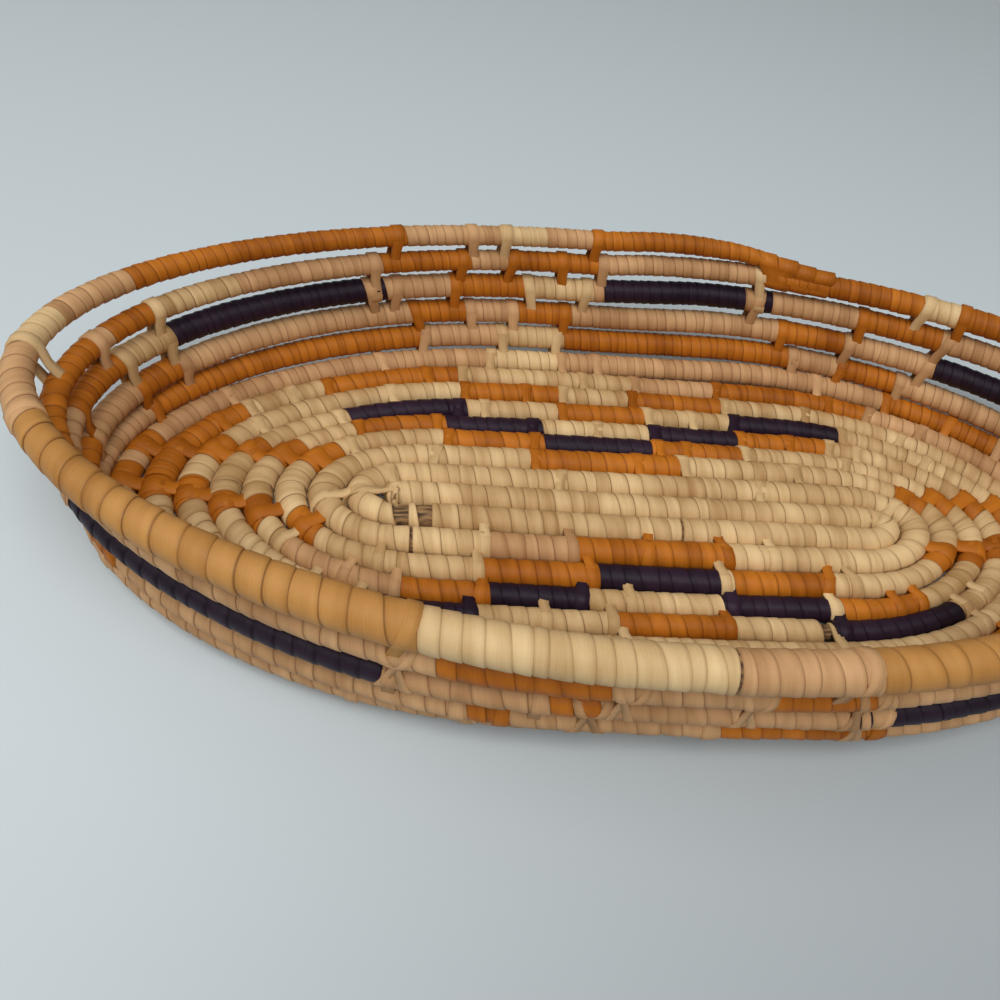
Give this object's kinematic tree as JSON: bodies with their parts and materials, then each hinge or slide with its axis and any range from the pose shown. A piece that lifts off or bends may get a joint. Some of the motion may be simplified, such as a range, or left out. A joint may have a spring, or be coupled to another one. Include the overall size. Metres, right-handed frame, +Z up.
{
  "type": "oval basket bowl",
  "caption": "Long oval coiled basket bowl: a flat closed base and an openwork wall of leaf-wrapped grass coil, with a stepped pattern.",
  "frame": {"origin": "on the ground under the middle of the bowl's box", "axes": "+X along the length of the oval to the right-hand end, +Y across it to the back, +Z up"},
  "size_m": [0.3978, 0.198, 0.0661],
  "materials": {
    "natural_leaf": "undyed palm leaf strip, satin",
    "tan_leaf": "pinkish tan dyed palm leaf strip, satin",
    "orange_leaf": "orange-brown dyed palm leaf strip, satin",
    "purple_leaf": "purple-black dyed palm leaf strip, satin",
    "grass_core": "dry grass stems, matte"
  },
  "bodies": {
    "root": {"foundation_bundle": "grass_core", "round_00_whole_natural": "natural_leaf", "round_01_whole_natural": "natural_leaf", "round_02_back_natural": "natural_leaf", "round_02_front_natural": "natural_leaf", "round_02_front_purple": "purple_leaf", "round_03_back_natural": "natural_leaf", "round_03_back_natural_2": "natural_leaf", "round_03_back_purple": "purple_leaf", "round_03_front_natural": "natural_leaf", "round_03_front_natural_2": "natural_leaf", "round_03_front_purple": "purple_leaf", "round_03_front_purple_2": "purple_leaf", "round_04_back_natural": "natural_leaf", "round_04_back_natural_2": "natural_leaf", "round_04_back_natural_3": "natural_leaf", "round_04_back_purple": "purple_leaf", "round_04_back_purple_2": "purple_leaf", "round_04_front_natural": "natural_leaf", "round_04_front_natural_2": "natural_leaf", "round_04_front_purple": "purple_leaf", "round_04_front_purple_2": "purple_leaf", "round_05_back_natural": "natural_leaf", "round_05_back_natural_2": "natural_leaf", "round_05_back_purple": "purple_leaf", "round_05_back_purple_2": "purple_leaf", "round_05_front_natural": "natural_leaf", "round_06_back_natural": "natural_leaf", "round_06_front_natural": "natural_leaf", "round_07_back_tan": "tan_leaf", "round_07_front_tan": "tan_leaf", "round_08_back_tan": "tan_leaf", "round_08_front_tan": "tan_leaf", "round_08_front_tan_2": "tan_leaf", "round_09_back_orange": "orange_leaf", "round_09_front_orange": "orange_leaf", "round_10_back_purple": "purple_leaf", "round_10_back_tan": "tan_leaf", "round_10_front_purple": "purple_leaf", "round_10_front_purple_2": "purple_leaf", "round_10_front_tan": "tan_leaf", "round_10_front_tan_2": "tan_leaf", "round_10_front_tan_3": "tan_leaf", "round_11_back_purple": "purple_leaf", "round_11_back_purple_2": "purple_leaf", "round_11_back_tan": "tan_leaf", "round_11_back_tan_2": "tan_leaf", "round_11_back_tan_3": "tan_leaf", "round_11_front_tan": "tan_leaf", "round_12_back_orange": "orange_leaf", "round_12_front_orange": "orange_leaf", "round_13_back_orange": "orange_leaf"}
  },
  "joints": []
}
